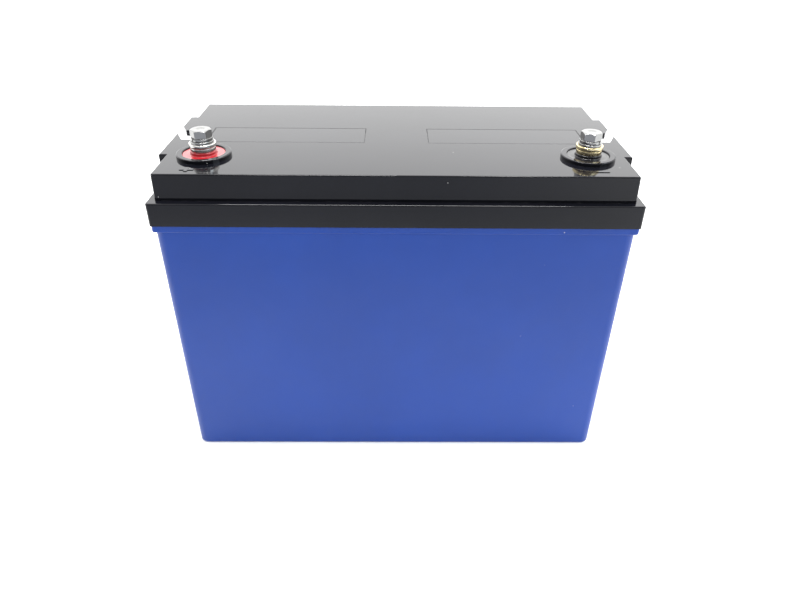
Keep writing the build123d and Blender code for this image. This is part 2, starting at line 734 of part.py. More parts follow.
positive_route = [
    (positive_tap[0], positive_tap[1] - bar_reach, cable_on_bar),
    (positive_tap[0], positive_tap[1] - bar_reach - BAR_RUN, cable_on_bar),
    (-TERMINAL[0], TERMINAL[1] + post_reach + POST_RUN, cable_under_lid),
    (-TERMINAL[0], TERMINAL[1] + post_reach, cable_under_lid),
]
negative_route = [
    (negative_tap[0] - bar_exit, negative_tap[1] - bar_exit, cable_on_bar),
    (negative_tap[0] - bar_bend, negative_tap[1] - bar_bend, cable_on_bar),
    (NEGATIVE_KNEE, 0.0, cable_on_board),
    (pad_x, 0.0, cable_on_board),
]
output_route = [
    (pad_x, PAD_ROW, cable_on_board),
    (pad_x + PAD_RUN, PAD_ROW, cable_on_board),
    (OUTPUT_KNEE, TERMINAL[1], cable_under_lid),
    (TERMINAL[0] - post_reach, TERMINAL[1], cable_under_lid),
]
for name, points in (
    ("positive_cable", positive_route),
    ("negative_cable", negative_route),
    ("output_cable", output_route),
):
    with BuildPart() as power_cable:
        expected_volume = cable(points, corner_radii(points), POWER_CABLE)
    print(name, "volume share", round(power_cable.part.volume / expected_volume, 4))
    write(power_cable, name)


def lug(tip, heading, palm_bottom, palm_thickness, barrel_height, palm_width):
    """A crimp lug: flat palm centred on tip, then a barrel that leaves it along heading."""
    plane = Plane(origin=(*tip, palm_bottom), x_dir=heading, z_dir=(0, 0, 1))
    with BuildSketch(plane) as palm:
        with Locations((LUG_PALM_TAIL / 2, 0)):
            RectangleRounded(palm_width + LUG_PALM_TAIL, palm_width, palm_width * PALM_ROUNDING)
    extrude(palm.sketch, amount=palm_thickness)
    start = Vector(*tip, barrel_height) + Vector(*heading) * (palm_width / 2 + LUG_NECK)
    with BuildSketch(Plane(origin=start, z_dir=heading)) as barrel:
        Circle(LUG_BARREL[0])
    extrude(barrel.sketch, amount=LUG_BARREL[1])


with BuildPart() as cable_lugs:
    for tap, heading in ((positive_tap, (0, -1, 0)), (negative_tap, (-diagonal, -diagonal, 0))):
        lug(tap, heading, busbar_top, BAR_PALM_THICKNESS, cable_on_bar, BAR_PALM)
    for seat, heading in (
        ((-TERMINAL[0], TERMINAL[1]), (0, 1, 0)),
        (TERMINAL, (-1, 0, 0)),
    ):
        lug(seat, heading, lug_bottom, LUG_THICKNESS, cable_under_lid, POST_PALM)
        steps(seat, [(POST_SHANK + THREAD_CLEARANCE, lug_bottom, BOSS_BOTTOM)], Mode.SUBTRACT)
write(cable_lugs, "cable_lugs")

wire_height = busbar_top + SENSE_WIRE / 2 + SENSE_LIFT
socket_height = board_top + SENSE_SOCKET[0]

with BuildPart() as balance_harness:
    for landing, side, lane in SENSE_WIRES:
        outward = lane - SENSE_WIRES[0][2]
        exit_y = side * (SENSE_SOCKET[1] - outward)
        drop_x = connector_x - SENSE_SOCKET[2] - outward
        route_points = [
            (connector_x - CONNECTOR[0] / 2, exit_y, socket_height),
            (drop_x, exit_y, socket_height),
            (drop_x, side * lane, wire_height),
            (landing, side * lane, wire_height),
            (landing, side * SENSE_LANDING_Y, wire_height),
        ]
        socket_radius, lane_radius, landing_radius = SENSE_RADII
        bends = (socket_radius + outward, lane_radius + outward, landing_radius)
        cable(route_points, bends, SENSE_WIRE)
write(balance_harness, "balance_harness")
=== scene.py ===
import json
import math

import bmesh
import bpy
from mathutils import Matrix, Vector


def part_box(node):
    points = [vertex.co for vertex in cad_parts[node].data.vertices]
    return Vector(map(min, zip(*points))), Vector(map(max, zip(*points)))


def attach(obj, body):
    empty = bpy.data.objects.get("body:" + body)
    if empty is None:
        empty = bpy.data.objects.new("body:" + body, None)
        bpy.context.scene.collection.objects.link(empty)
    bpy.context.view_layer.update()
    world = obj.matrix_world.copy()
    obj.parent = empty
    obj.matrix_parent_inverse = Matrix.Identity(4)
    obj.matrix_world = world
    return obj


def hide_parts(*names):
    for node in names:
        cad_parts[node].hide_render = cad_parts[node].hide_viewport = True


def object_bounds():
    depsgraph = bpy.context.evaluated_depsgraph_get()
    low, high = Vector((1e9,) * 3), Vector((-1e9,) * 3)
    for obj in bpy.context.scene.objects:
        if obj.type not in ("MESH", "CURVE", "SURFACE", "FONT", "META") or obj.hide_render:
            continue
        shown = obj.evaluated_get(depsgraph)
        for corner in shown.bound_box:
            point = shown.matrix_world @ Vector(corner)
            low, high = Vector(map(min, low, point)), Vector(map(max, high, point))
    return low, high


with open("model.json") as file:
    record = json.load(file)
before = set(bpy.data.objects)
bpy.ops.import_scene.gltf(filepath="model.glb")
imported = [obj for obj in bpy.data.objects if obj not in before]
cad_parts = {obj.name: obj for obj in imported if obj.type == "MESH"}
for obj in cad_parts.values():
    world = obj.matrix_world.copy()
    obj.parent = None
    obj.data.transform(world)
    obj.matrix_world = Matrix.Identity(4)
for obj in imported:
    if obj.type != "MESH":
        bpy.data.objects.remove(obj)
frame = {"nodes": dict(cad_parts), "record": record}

CAD_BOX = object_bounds()
NODES = frame["nodes"]
RECORD = frame["record"]
MM = 0.001
POLARITIES = ("positive", "negative")


# ================================================================ node helpers
def new_material(name):
    """An empty material with a Principled shader; gives (material, tree, shader)."""
    material = bpy.data.materials.new(name)
    material.use_nodes = True
    tree = material.node_tree
    tree.nodes.clear()
    shader = tree.nodes.new("ShaderNodeBsdfPrincipled")
    output = tree.nodes.new("ShaderNodeOutputMaterial")
    tree.links.new(shader.outputs["BSDF"], output.inputs["Surface"])
    return material, tree, shader


def node(tree, kind, **values):
    """Add a node; values set its properties or, with names that are inputs, its sockets."""
    made = tree.nodes.new(kind)
    for key, value in values.items():
        if key in made.inputs:
            made.inputs[key].default_value = value
        else:
            setattr(made, key, value)
    return made


def coordinates(tree, stretch=(1.0, 1.0, 1.0), turn=(0.0, 0.0, 0.0)):
    """Object coordinates in metres, stretched per axis."""
    source = node(tree, "ShaderNodeTexCoord")
    mapping = node(tree, "ShaderNodeMapping")
    mapping.inputs["Scale"].default_value = stretch
    mapping.inputs["Rotation"].default_value = turn
    tree.links.new(source.outputs["Object"], mapping.inputs["Vector"])
    return mapping.outputs["Vector"]


def noise(tree, scale, detail=2.0, rough=0.5, stretch=(1.0, 1.0, 1.0), turn=(0.0, 0.0, 0.0)):
    """A noise pattern, scale in features per metre."""
    made = node(tree, "ShaderNodeTexNoise", Scale=scale, Detail=detail, Roughness=rough)
    tree.links.new(coordinates(tree, stretch, turn), made.inputs["Vector"])
    return made.outputs["Fac"]


def ramp(tree, value, low, high, out_low=0.0, out_high=1.0):
    """Maps value from low..high to out_low..out_high, clamped and smooth."""
    made = node(tree, "ShaderNodeMapRange", interpolation_type="SMOOTHSTEP")
    made.inputs["From Min"].default_value = low
    made.inputs["From Max"].default_value = high
    made.inputs["To Min"].default_value = out_low
    made.inputs["To Max"].default_value = out_high
    tree.links.new(value, made.inputs["Value"])
    return made.outputs["Result"]


def math_node(tree, operation, first, second):
    """One math operation; either input may be a number or a socket."""
    made = node(tree, "ShaderNodeMath", operation=operation)
    for index, value in enumerate((first, second)):
        if isinstance(value, (int, float)):
            made.inputs[index].default_value = value
        else:
            tree.links.new(value, made.inputs[index])
    return made.outputs[0]


def mix_colour(tree, amount, first, second):
    """Blend of two colours; each may be an RGB tuple or a socket."""
    made = node(tree, "ShaderNodeMix", data_type="RGBA")
    tree.links.new(amount, made.inputs[0])
    for index, value in ((6, first), (7, second)):
        if isinstance(value, tuple):
            made.inputs[index].default_value = (*value, 1.0)
        else:
            tree.links.new(value, made.inputs[index])
    return made.outputs[2]


def bump(tree, height, distance, below=None, sunk=False):
    """A bump, or a dent if sunk, from a height pattern; distance in metres, chained on below."""
    made = node(tree, "ShaderNodeBump", Strength=1.0, Distance=distance)
    made.invert = sunk
    tree.links.new(height, made.inputs["Height"])
    if below is not None:
        tree.links.new(below, made.inputs["Normal"])
    return made.outputs["Normal"]


def specks(tree, scale, size, share):
    """Mask of scattered specks: scale in cells per metre, size and share from 0 to 1."""
    cells = node(tree, "ShaderNodeTexVoronoi", Scale=scale, Randomness=1.0)
    tree.links.new(coordinates(tree), cells.inputs["Vector"])
    near = ramp(tree, cells.outputs["Distance"], size * 0.6, size, 1.0, 0.0)
    picked = node(tree, "ShaderNodeSeparateColor")
    tree.links.new(cells.outputs["Color"], picked.inputs["Color"])
    chosen = math_node(tree, "LESS_THAN", picked.outputs["Red"], share)
    return math_node(tree, "MULTIPLY", near, chosen)


def edge_wear(tree, radius, turn):
    """Mask of worn edges, from a rounded normal; turn is the (start, full) of 1 - cosine of its tilt."""
    rounded = node(tree, "ShaderNodeBevel", samples=4, Radius=radius)
    flat = node(tree, "ShaderNodeNewGeometry")
    made = node(tree, "ShaderNodeVectorMath", operation="DOT_PRODUCT")
    tree.links.new(rounded.outputs["Normal"], made.inputs[0])
    tree.links.new(flat.outputs["Normal"], made.inputs[1])
    apart = math_node(tree, "SUBTRACT", 1.0, made.outputs["Value"])
    return ramp(tree, apart, *turn)


# ================================================================ materials
# Noise patterns as (features per metre, detail, roughness)
CLOUDS = (9.0, 4.0, 0.6)
SMEARS = (34.0, 5.0, 0.65)
SCRATCHED_PATCHES = (21.0, 2.0, 0.5)
RUBBED_PATCHES = (160.0, 4.0, 0.5)
DUST_FILM = (55.0, 6.0, 0.7)
BLOTCHES = (420.0, 4.0, 0.6)
STAINS = (260.0, 6.0, 0.7)
POLISH = (700.0, 5.0, 0.6)
METAL_TOOTH = (1800.0, 3.0, 0.6)

# Lines as features per metre along each axis; each scratch has its turn about Z, in radians, first
SCRATCH_LINES = [(0.35, (900.0, 9.0, 300.0)), (-0.8, (7.0, 700.0, 300.0))]
TURNED_LINES = (60.0, 60.0, 5200.0)

# Specks and pits as (cells per metre, size), and the share of the cells that hold a pit
FINE_DUST = (300.0, 0.11)
COARSE_DUST = (70.0, 0.045)
PITS = (1500.0, 0.3)
PIT_SHARE = 0.25

# Heights of the finest relief, in metres
METAL_GRAIN = 0.000002
TURNED_LINE_HEIGHT = 0.00001
PIT_DEPTH = 0.00003
SCRATCH_DEPTH = 0.000005

DUST_COLOUR = (0.62, 0.61, 0.58)
WEAR_RADIUS = 0.0009
WEAR_TURN = (0.02, 0.25)
COAT_ROUGHNESS = 0.05


def hairlines(tree):
    """Mask of fine scratches in two directions, gathered in patches."""
    patch = ramp(tree, noise(tree, *SCRATCHED_PATCHES), 0.5, 0.62)
    masks = []
    for turn, stretch in SCRATCH_LINES:
        streak = noise(tree, 1.0, 1.0, 0.4, stretch, (0.0, 0.0, turn))
        masks.append(math_node(tree, "MULTIPLY", ramp(tree, streak, 0.71, 0.76), patch))
    return math_node(tree, "MAXIMUM", *masks)


def plastic(
    name,
    colour,
    rough,
    spread=0.06,
    grain=(2600.0, 0.00001),
    waves=None,
    scratches=0.0,
    dust=0.0,
    wear=0.0,
    coat=0.0,
    ior=1.52,
):
    """Moulded plastic: mottled colour, mould grain, slow waves, hairline scratches, worn edges, dust."""
    material, tree, shader = new_material(name)
    darker = tuple(c * (1 - spread) for c in colour)
    lighter = tuple(min(1.0, c * (1 + spread)) for c in colour)
    cloud = ramp(tree, noise(tree, *CLOUDS), 0.3, 0.7)
    surface = mix_colour(tree, cloud, darker, lighter)
    roughness = ramp(tree, noise(tree, *SMEARS), 0.3, 0.75, rough * 0.86, rough * 1.2)
    normal = bump(tree, noise(tree, grain[0], 2.0, 0.5), grain[1])
    if waves:
        normal = bump(tree, noise(tree, waves[0], 1.0, 0.4), waves[1], normal)
    if scratches:
        lines = hairlines(tree)
        rougher = math_node(tree, "MULTIPLY", lines, scratches)
        roughness = math_node(tree, "ADD", roughness, rougher)
        normal = bump(tree, lines, SCRATCH_DEPTH, normal, sunk=True)
    if wear:
        rubbed = ramp(tree, noise(tree, *RUBBED_PATCHES), 0.45, 0.7)
        worn = math_node(tree, "MULTIPLY", edge_wear(tree, WEAR_RADIUS, WEAR_TURN), rubbed)
        pale = tuple(c * 1.5 + 0.05 for c in colour)
        surface = mix_colour(tree, math_node(tree, "MULTIPLY", worn, wear), surface, pale)
        roughness = math_node(tree, "ADD", roughness, math_node(tree, "MULTIPLY", worn, 0.15))
    if dust:
        fine = specks(tree, *FINE_DUST, 0.012 * dust)
        coarse = specks(tree, *COARSE_DUST, 0.02 * dust)
        film = ramp(tree, noise(tree, *DUST_FILM), 0.55, 0.85, 0.0, 0.010 * dust)
        settled = math_node(tree, "MAXIMUM", math_node(tree, "MAXIMUM", fine, coarse), film)
        surface = mix_colour(tree, settled, surface, DUST_COLOUR)
        roughness = math_node(tree, "ADD", roughness, math_node(tree, "MULTIPLY", settled, 0.5))
    tree.links.new(surface, shader.inputs["Base Color"])
    tree.links.new(roughness, shader.inputs["Roughness"])
    tree.links.new(normal, shader.inputs["Normal"])
    shader.inputs["IOR"].default_value = ior
    if coat:
        shader.inputs["Coat Weight"].default_value = coat
        shader.inputs["Coat Roughness"].default_value = COAT_ROUGHNESS
    return material


def metal(name, colour, rough, turned=0.0, stain=0.0, stain_colour=(0.25, 0.2, 0.15), pits=0.0):
    """Metal with uneven polish, turned or rolled lines, stains and small pits."""
    material, tree, shader = new_material(name)
    darker = tuple(c * 0.95 for c in colour)
    blotch = ramp(tree, noise(tree, *BLOTCHES), 0.32, 0.7)
    surface = mix_colour(tree, blotch, darker, colour)
    if stain:
        spots = ramp(tree, noise(tree, *STAINS), 0.56, 0.78, 0.0, stain)
        surface = mix_colour(tree, spots, surface, stain_colour)
    roughness = ramp(tree, noise(tree, *POLISH), 0.3, 0.72, rough * 0.88, rough * 1.18)
    normal = bump(tree, noise(tree, *METAL_TOOTH), METAL_GRAIN)
    if turned:
        rings = noise(tree, 1.0, 2.0, 0.6, TURNED_LINES)
        normal = bump(tree, rings, TURNED_LINE_HEIGHT * turned, normal)
    if pits:
        holes = specks(tree, *PITS, PIT_SHARE)
        normal = bump(tree, holes, PIT_DEPTH * pits, normal, sunk=True)
    tree.links.new(surface, shader.inputs["Base Color"])
    tree.links.new(roughness, shader.inputs["Roughness"])
    tree.links.new(normal, shader.inputs["Normal"])
    shader.inputs["Metallic"].default_value = 1.0
    return material


def foam(name, colour):
    """Closed-cell foam: matt, with cells and a soft sheen."""
    material, tree, shader = new_material(name)
    cells = node(tree, "ShaderNodeTexVoronoi", Scale=900.0)
    tree.links.new(coordinates(tree), cells.inputs["Vector"])
    shade = ramp(tree, cells.outputs["Distance"], 0.1, 0.7)
    lighter = tuple(c * 1.5 + 0.01 for c in colour)
    tree.links.new(mix_colour(tree, shade, colour, lighter), shader.inputs["Base Color"])
    normal = bump(tree, cells.outputs["Distance"], 0.0002)
    normal = bump(tree, noise(tree, 60.0, 3.0), 0.0006, normal)
    tree.links.new(normal, shader.inputs["Normal"])
    roughness = ramp(tree, noise(tree, 90.0, 3.0), 0.3, 0.7, 0.8, 0.95)
    tree.links.new(roughness, shader.inputs["Roughness"])
    shader.inputs["Sheen Weight"].default_value = 0.3
    return material


def glass_epoxy(name, colour, weave=2400.0, rough=0.42):
    """Glass-epoxy board: crossed glass weave under a resin skin."""
    material, tree, shader = new_material(name)
    warp = noise(tree, 1.0, 0.0, 0.5, (weave, weave * 0.08, weave * 0.08))
    weft = noise(tree, 1.0, 0.0, 0.5, (weave * 0.08, weave, weave))
    cloth = math_node(tree, "ADD", warp, weft)
    shade = ramp(tree, cloth, 0.75, 1.25)
    lighter = tuple(min(1.0, c * 1.25 + 0.01) for c in colour)
    surface = mix_colour(tree, shade, colour, lighter)
    blot = ramp(tree, noise(tree, 40.0, 4.0), 0.4, 0.75, 0.0, 0.35)
    surface = mix_colour(tree, blot, surface, tuple(c * 0.8 for c in colour))
    tree.links.new(surface, shader.inputs["Base Color"])
    tree.links.new(bump(tree, cloth, 0.00002), shader.inputs["Normal"])
    roughness = ramp(tree, noise(tree, 130.0, 3.0), 0.3, 0.7, rough * 0.8, rough * 1.2)
    tree.links.new(roughness, shader.inputs["Roughness"])
    return material


def make_materials():
    """One material for every slot of the record."""
    silicone = dict(spread=0.12, grain=(1500.0, 0.00002), dust=0.6)
    polished = dict(grain=(2400.0, 0.000002), dust=0.5)
    tarnish = (0.42, 0.26, 0.1)
    oxide = (0.34, 0.14, 0.08)
    return {
        "case_blue": plastic(
            "case_blue",
            (0.0082, 0.0475, 0.276),
            0.34,
            0.07,
            (2100.0, 0.000014),
            (11.0, 0.00010),
            scratches=0.10,
            dust=0.3,
            wear=0.45,
            ior=1.37,
        ),
        "lid_black": plastic(
            "lid_black",
            (0.0040, 0.0042, 0.0064),
            0.075,
            0.25,
            waves=(26.0, 0.00004),
            scratches=0.14,
            wear=0.35,
            ior=1.38,
            **polished,
        ),
        "strip_black": plastic(
            "strip_black",
            (0.0070, 0.0073, 0.0096),
            0.09,
            0.25,
            waves=(34.0, 0.00004),
            scratches=0.12,
            wear=0.35,
            ior=1.38,
            **polished,
        ),
        "seal_red": plastic(
            "seal_red", (0.34, 0.010, 0.016), 0.09, 0.12, waves=(60.0, 0.00003), coat=0.3, **polished
        ),
        "seal_black": plastic(
            "seal_black", (0.0075, 0.0075, 0.0085), 0.09, 0.2, waves=(60.0, 0.00003), **polished
        ),
        "tin_plate": metal("tin_plate", (0.60, 0.59, 0.565), 0.15, turned=0.05, stain=0.12, pits=0.08),
        "brass_post": metal("brass_post", (0.74, 0.63, 0.38), 0.15, 0.05, 0.15, tarnish),
        "bolt_chrome": metal("bolt_chrome", (0.29, 0.29, 0.285), 0.15, stain=0.10, pits=0.1),
        "zinc_steel": metal("zinc_steel", (0.62, 0.64, 0.66), 0.28, 0.6, stain=0.2, pits=0.8),
        "cell_aluminium": metal("cell_aluminium", (0.82, 0.82, 0.83), 0.3, 0.5, stain=0.1),
        "cell_wrap": metal("cell_wrap", (0.74, 0.75, 0.77), 0.36, 0.4, stain=0.15),
        "winding": plastic("winding", (0.09, 0.09, 0.1), 0.6, 0.2, (1200.0, 0.00003)),
        "gasket_plastic": plastic("gasket_plastic", (0.10, 0.10, 0.11), 0.45, 0.15),
        "gasket_rubber": plastic("gasket_rubber", (0.04, 0.04, 0.042), 0.55, 0.2, (900.0, 0.00004)),
        "epoxy_board": glass_epoxy("epoxy_board", (0.50, 0.55, 0.20)),
        "circuit_board": glass_epoxy("circuit_board", (0.012, 0.13, 0.045), 2000.0, 0.3),
        "foam": foam("foam", (0.035, 0.035, 0.038)),
        "copper": metal("copper", (0.90, 0.50, 0.36), 0.24, 0.5, 0.35, oxide),
        "chip_black": plastic("chip_black", (0.02, 0.02, 0.021), 0.5, 0.15, (3200.0, 0.00002)),
        "heatsink": metal("heatsink", (0.78, 0.78, 0.79), 0.33, 1.0, stain=0.08),
        "connector_white": plastic("connector_white", (0.80, 0.78, 0.70), 0.4, 0.05, dust=0.4),
        "wire_black": plastic("wire_black", (0.03, 0.03, 0.031), 0.5, **silicone),
        "cable_red": plastic("cable_red", (0.42, 0.018, 0.016), 0.5, **silicone),
        "cable_black": plastic("cable_black", (0.025, 0.025, 0.026), 0.5, **silicone),
    }


MATERIALS = make_materials()
SLOT_OF = {part["node"]: part["material_slot"] for part in RECORD["subparts"]}
BODY_OF = {}
for body, members in RECORD["behaviour"]["bodies"].items():
    BODY_OF.update({member: body for member in members})

for name, shape in NODES.items():
    shape.data.materials.clear()
    shape.data.materials.append(MATERIALS[SLOT_OF[name]])


# ================================================================ mesh helpers
SHARP_ANGLE = 32.0
MERGE_DISTANCE = 0.00001
TURNED_SEGMENTS = 128


def add_piece(name, made, source, sharp=SHARP_ANGLE):
    """Turn a bmesh in millimetres into the visible form of a CAD node, with its slot and body."""
    limit = math.radians(sharp)
    bmesh.ops.remove_doubles(made, verts=made.verts, dist=MERGE_DISTANCE)
    bmesh.ops.recalc_face_normals(made, faces=made.faces)
    bmesh.ops.scale(made, vec=(MM, MM, MM), verts=made.verts)
    for face in made.faces:
        face.smooth = True
    for edge in made.edges:
        edge.smooth = len(edge.link_faces) == 2 and edge.calc_face_angle(0.0) < limit
    mesh = bpy.data.meshes.new(name)
    made.to_mesh(mesh)
    made.free()
    piece = bpy.data.objects.new(name, mesh)
    bpy.context.scene.collection.objects.link(piece)
    mesh.materials.append(MATERIALS[SLOT_OF[source]])
    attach(piece, BODY_OF[source])
    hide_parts(source)
    return piece


def in_mm(source):
    """Lowest and highest corner of a CAD node's box, in millimetres."""
    low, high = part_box(source)
    return Vector(low) / MM, Vector(high) / MM


def polar(centre, radius, angle, height):
    """A point at a radius and angle about an upright axis."""
    return (centre[0] + radius * math.cos(angle), centre[1] + radius * math.sin(angle), height)


def skin(made, rows, closed_across=True):
    """Join closed rows of points into a quad skin; the last row may join the first."""
    verts = [[made.verts.new(point) for point in row] for row in rows]
    count = len(verts[0])
    last_row = len(verts) if closed_across else len(verts) - 1
    for index in range(last_row):
        low, high = verts[index], verts[(index + 1) % len(verts)]
        for column in range(count):
            other = (column + 1) % count
            made.faces.new((low[column], low[other], high[other], high[column]))
    return verts


def rounded(corners, cut_backs, steps=4):
    """A closed profile with each corner cut back along both sides and bent."""
    points = []
    for index, (corner, reach) in enumerate(zip(corners, cut_backs)):
        here = Vector(corner)
        if not reach:
            points.append(tuple(here))
            continue
        before = (Vector(corners[index - 1]) - here).normalized() * reach
        after = (Vector(corners[(index + 1) % len(corners)]) - here).normalized() * reach
        for step in range(steps + 1):
            share = step / steps
            points.append(tuple(here + before * (1 - share) ** 2 + after * share**2))
    return points


def turned_rows(centre, profile):
    """Rows of points around an upright axis, one for each (radius, height) of a profile."""
    angles = [2 * math.pi * index / TURNED_SEGMENTS for index in range(TURNED_SEGMENTS)]
    return [[polar(centre, radius, angle, height) for angle in angles] for radius, height in profile]


# ================================================================ terminal hardware
# Radius of the smallest ring, which closes the end of a turned shape
POINT = 0.02

# M8 bolt: thread, then the hexagon head from its dimple outwards as (radius, drop)
THREAD_PITCH = 1.25
THREAD_DEPTH = 0.68
THREAD_CREST = 3.97
THREAD_STEEPNESS = 2.5
THREAD_FLAT = 0.12
THREAD_ROWS = 224
THREAD_RUN_IN = 0.9
TIP_RADIUS = 3.1
TIP_SLOPE = 1.1
SHANK = 1.6
SHANK_EDGE = 0.4
NECK = (4.25, 0.25)
HEAD_HEIGHT = 5.3
HEAD_APOTHEM = 6.41
HEAD_CORNER = 7.33
HEAD_TURN = {"positive": math.radians(7.4), "negative": math.radians(36.0)}
HEAD_TOP = [
    (POINT, 0.52), (0.8, 0.52), (1.9, 0.46), (2.5, 0.34), (2.85, 0.14), (3.05, 0.03), (3.3, 0.0),
    (5.6, 0.0), (6.05, 0.012), (6.25, 0.045),
]
CROWN_RADIUS = 6.2
CROWN_SLOPE = math.sqrt(3)
FOOT_RADIUS = 6.95
FOOT_SLOPE = 1.6
FOOT_CHAMFER = 0.35
FOOT_ROWS = 4
FACE_RADIUS = 6.7
HEAD_ROWS = 12
HEAD_ROW_SPREAD = 1.6
BOLT_SEGMENTS = 180
BOLT_SHARP_ANGLE = 28.0

# Washers
WASHER_BORE = 4.2
FLAT_WASHER_EDGES = [0.08, 0.12, 0.42, 0.25]
SPRING_WASHER = (4.25, 7.4)
SPRING_WASHER_EDGE = 0.30
SPLIT_ANGLE = {"positive": math.radians(235.7), "negative": math.radians(311.7)}
SPLIT_GAP = 0.13
SPLIT_LEAN = 0.075
SPRING_STEPS = 150
SPRING_PRESS = 0.04
SPRING_RISE = 0.03

# Post and seal: heights, radii and how far each corner of their profiles is cut back
LID_TOP = 235.0
BOSS_BOTTOM = 229.4
POST_FOOT = 239.1
POST_SHANK = 6.0
POST_BODY = 6.4
POST_COLLAR = (8.6, 241.7)
POST_GROOVE = (8.1, 242.1)
POST_RIM = 9.2
POST_BORE = (4.05, 230.4)
POST_EDGES = [0.2, 0.0, 0.0, 0.0, 0.3, 0.35, 0.06, 0.06, 0.5, 0.6, 0.35, 0.0]
SEAL_TOP = 236.9
SEAL_BORE = 6.45
SEAL_SLEEVE = 8.0
SEAL_DISC = 14.5
SEAL_DISH = (12.4, 0.12)
SEAL_COLLAR = 9.2
SEAL_EDGES = [0.0, 0.1, 0.0, 0.05, 0.5, 0.5, 0.45, 0.8, 0.1]
ROUNDING_STEPS = 5


def seat_of(source):
    """Axis, lowest and highest height of a piece of terminal hardware, in millimetres."""
    low, high = in_mm(source)
    return ((low.x + high.x) / 2, (low.y + high.y) / 2), low.z, high.z


def thread_radius(height, angle):
    """Radius of a right-hand screw thread at a height and angle, with flat crests and roots."""
    phase = (height / THREAD_PITCH - angle / (2 * math.pi)) % 1.0
    slope = min(abs(phase - 0.5) * THREAD_STEEPNESS, 1.0)
    return THREAD_CREST - THREAD_DEPTH * max(0.0, slope - THREAD_FLAT) / (1 - THREAD_FLAT)


def head_side(angle, drop, turn):
    """Side of the hexagon head: rounded corners, crown above, small chamfer below."""
    off_flat = (angle - turn) % (math.pi / 3) - math.pi / 6
    flat = min(HEAD_APOTHEM / math.cos(off_flat), HEAD_CORNER)
    crown = CROWN_RADIUS + drop * CROWN_SLOPE
    chamfer = FOOT_RADIUS + (HEAD_HEIGHT - drop) * FOOT_SLOPE
    return min(flat, crown, chamfer)


def build_bolt(polarity):
    """M8 bolt: crowned hexagon head with a dimple, washer face, neck and cut thread."""
    source = f"{polarity}_bolt"
    centre, bottom, top = seat_of(source)
    turn = HEAD_TURN[polarity]
    under_head = top - HEAD_HEIGHT
    angles = [2 * math.pi * index / BOLT_SEGMENTS for index in range(BOLT_SEGMENTS)]
    rows = []

    def ring(radius, height):
        """Add a plain round row of points."""
        rows.append([polar(centre, radius, angle, height) for angle in angles])

    def side_row(drop):
        """Add a row of the hexagon's side, a drop below the head's top."""
        row = [polar(centre, head_side(angle, drop, turn), angle, top - drop) for angle in angles]
        rows.append(row)

    for radius, drop in HEAD_TOP:
        ring(radius, top - drop)
    chamfer_top = HEAD_HEIGHT - FOOT_CHAMFER
    crown_top = HEAD_TOP[-1][1]
    for step in range(1, HEAD_ROWS + 1):
        side_row(crown_top + (chamfer_top - crown_top) * (step / HEAD_ROWS) ** HEAD_ROW_SPREAD)
    for step in range(1, FOOT_ROWS + 1):
        side_row(chamfer_top + FOOT_CHAMFER * step / FOOT_ROWS)
    ring(FACE_RADIUS, under_head)
    ring(NECK[0], under_head)
    ring(THREAD_CREST, under_head - NECK[1])
    thread_top = under_head - SHANK
    ring(THREAD_CREST, thread_top + SHANK_EDGE)
    for step in range(THREAD_ROWS + 1):
        height = thread_top - (thread_top - bottom) * step / THREAD_ROWS
        depth = min(1.0, (thread_top - height) / THREAD_RUN_IN)
        tip = min(THREAD_CREST, TIP_RADIUS + (height - bottom) * TIP_SLOPE)
        row = []
        for angle in angles:
            radius = THREAD_CREST * (1 - depth) + thread_radius(height, angle) * depth
            row.append(polar(centre, min(tip, radius), angle, height))
        rows.append(row)
    ring(POINT, bottom)
    made = bmesh.new()
    skin(made, rows, closed_across=False)
    add_piece(f"{polarity}_bolt_threaded", made, source, BOLT_SHARP_ANGLE)


def build_spring_washer(polarity):
    """Split lock washer: one turn of square wire, pressed flat, with a slanted split."""
    source = f"{polarity}_spring_washer"
    centre, bottom, top = seat_of(source)
    inner, outer = SPRING_WASHER
    thick = top - bottom
    corners = [(inner, 0.0), (outer, 0.0), (outer, thick), (inner, thick)]
    profile = rounded(corners, [SPRING_WASHER_EDGE] * len(corners))
    span = 2 * math.pi - SPLIT_GAP
    rows = []
    for step in range(SPRING_STEPS + 1):
        share = step / SPRING_STEPS
        rise = SPRING_RISE * (share - 0.5)
        row = []
        for radius, height in profile:
            angle = SPLIT_ANGLE[polarity] + span * share + SPLIT_LEAN * (height / thick - 0.5)
            pressed = bottom + SPRING_PRESS + height * (thick - 2 * SPRING_PRESS) / thick
            row.append(polar(centre, radius, angle, pressed + rise))
        rows.append(row)
    made = bmesh.new()
    verts = skin(made, rows, closed_across=False)
    made.faces.new(list(reversed(verts[0])))
    made.faces.new(verts[-1])
    add_piece(f"{polarity}_spring_washer_split", made, source)


def build_flat_washer(polarity):
    """Stamped flat washer: rounded upper rim on one side, sharper burr side below."""
    source = f"{polarity}_flat_washer"
    centre, bottom, top = seat_of(source)
    low, high = in_mm(source)
    outer = (high.x - low.x) / 2
    corners = [(WASHER_BORE, bottom), (outer, bottom), (outer, top), (WASHER_BORE, top)]
    made = bmesh.new()
    skin(made, turned_rows(centre, rounded(corners, FLAT_WASHER_EDGES, ROUNDING_STEPS)))
    add_piece(f"{polarity}_flat_washer_stamped", made, source)


